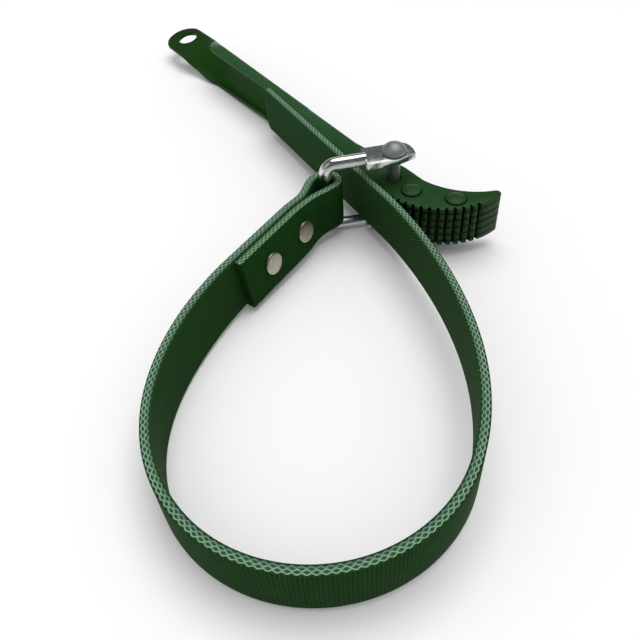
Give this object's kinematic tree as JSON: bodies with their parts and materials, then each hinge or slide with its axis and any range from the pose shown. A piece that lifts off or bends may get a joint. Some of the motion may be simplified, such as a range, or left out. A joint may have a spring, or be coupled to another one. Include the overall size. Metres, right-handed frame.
{
  "type": "oil filter strap wrench",
  "caption": "Strap wrench for oil filters: pressed channel handle with toothed crescent jaw, wire bail on a pivot pin, and a riveted woven belt loop that grips the filter.",
  "frame": {"origin": "centre of the hang hole in the handle's end tab", "axes": "+X along the handle to the jaw, +Z along the pivot pin towards its domed head, +Y towards the back of the channel"},
  "size_m": [0.4041, 0.2133, 0.0479],
  "materials": {
    "green_paint": "glossy dark green enamel over pressed steel",
    "bright_plate": "bright plated steel wire and pin",
    "rivet_nickel": "satin nickel plated rivets",
    "belt": "green coated woven belt, satin faces with fine weave"
  },
  "bodies": {
    "handle": {"handle_channel": "green_paint", "jaw_plate_1": "green_paint", "jaw_plate_2": "green_paint", "jaw_plate_3": "green_paint", "jaw_plate_4": "green_paint", "jaw_rivet_1": "green_paint", "jaw_rivet_2": "green_paint"},
    "pivot": {"pivot_pin": "bright_plate"},
    "bail": {"bail": "bright_plate"},
    "strap": {"strap": "belt", "strap_rivet_post_1": "rivet_nickel", "strap_rivet_post_2": "rivet_nickel", "strap_rivet_cap_1": "rivet_nickel", "strap_rivet_cap_2": "rivet_nickel"},
    "tail": {"strap_tail": "belt"}
  },
  "joints": [
    {"name": "jaw_play", "type": "slide", "parent": "handle", "child": "pivot", "axis": [0, 0, 1], "range_m": [-0.0115, 0]},
    {"name": "bail_swing", "type": "hinge", "parent": "pivot", "child": "bail", "pos_m": [0.2336, -0.0083, 0], "axis": [0, 0, 1], "range_deg": [0, 40]},
    {"name": "strap_turn", "type": "hinge", "parent": "bail", "child": "strap", "pos_m": [0.21854, -0.04001, 0], "axis": [0, 0, 1], "range_deg": [-40, 0]},
    {"name": "tail_peel", "type": "hinge", "parent": "strap", "child": "tail", "pos_m": [0.21114, -0.02366, 0], "axis": [0, 0, 1], "range_deg": [0, 40]}
  ],
  "couplings": [
    {"joint": "strap_turn", "follows": "bail_swing", "ratio": -1}
  ]
}
